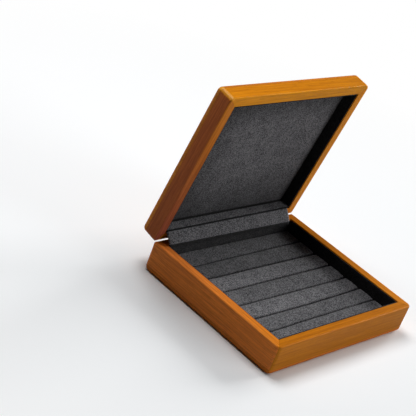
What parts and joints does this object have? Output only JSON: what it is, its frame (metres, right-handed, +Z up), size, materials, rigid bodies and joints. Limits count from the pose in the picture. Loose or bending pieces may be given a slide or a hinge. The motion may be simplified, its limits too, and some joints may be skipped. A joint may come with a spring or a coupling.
{
  "type": "ring box",
  "caption": "Shallow hinged wooden ring box, standing open, with rounded edges, a dark napped lining, foam ring rolls across the base and a padded lid.",
  "frame": {"origin": "centre of the flat underside", "axes": "+Z up, +Y towards the hinges, +X to the right seen from the front; -Z is the underside's outward normal"},
  "size_m": [0.18, 0.1656, 0.1761],
  "materials": {
    "wood": "satin lacquer over straight fine grain",
    "lining": "napped microfibre suede",
    "brass": "satin"
  },
  "bodies": {
    "base": {"base_bottom_panel": "wood", "base_floor_board": "lining", "base_front_wall": "wood", "base_rear_wall": "wood", "base_left_wall": "wood", "base_right_wall": "wood", "base_front_liner": "lining", "base_rear_liner": "lining", "base_left_liner": "lining", "base_right_liner": "lining", "ring_roll_1": "lining", "ring_roll_2": "lining", "ring_roll_3": "lining", "ring_roll_4": "lining", "ring_roll_5": "lining", "ring_roll_6": "lining", "ring_roll_7": "lining", "hinge_cover": "lining", "left_hinge_base_leaf": "brass", "right_hinge_base_leaf": "brass", "left_hinge_pin": "brass", "right_hinge_pin": "brass", "base_screw_1": "brass", "base_screw_2": "brass", "base_screw_3": "brass", "base_screw_4": "brass"},
    "lid": {"lid_top_panel": "wood", "lid_pad": "lining", "lid_front_wall": "wood", "lid_rear_wall": "wood", "lid_left_wall": "wood", "lid_right_wall": "wood", "lid_front_liner": "lining", "lid_rear_liner": "lining", "lid_left_liner": "lining", "lid_right_liner": "lining", "left_hinge_lid_leaf": "brass", "right_hinge_lid_leaf": "brass", "lid_screw_1": "brass", "lid_screw_2": "brass", "lid_screw_3": "brass", "lid_screw_4": "brass"}
  },
  "joints": [
    {"name": "lid_hinge", "type": "hinge", "parent": "base", "child": "lid", "pos_m": [0, 0.0734, 0.02735], "axis": [-1, 0, 0], "range_deg": [-81.2, 23.8], "deforming": ["hinge_cover"]}
  ]
}
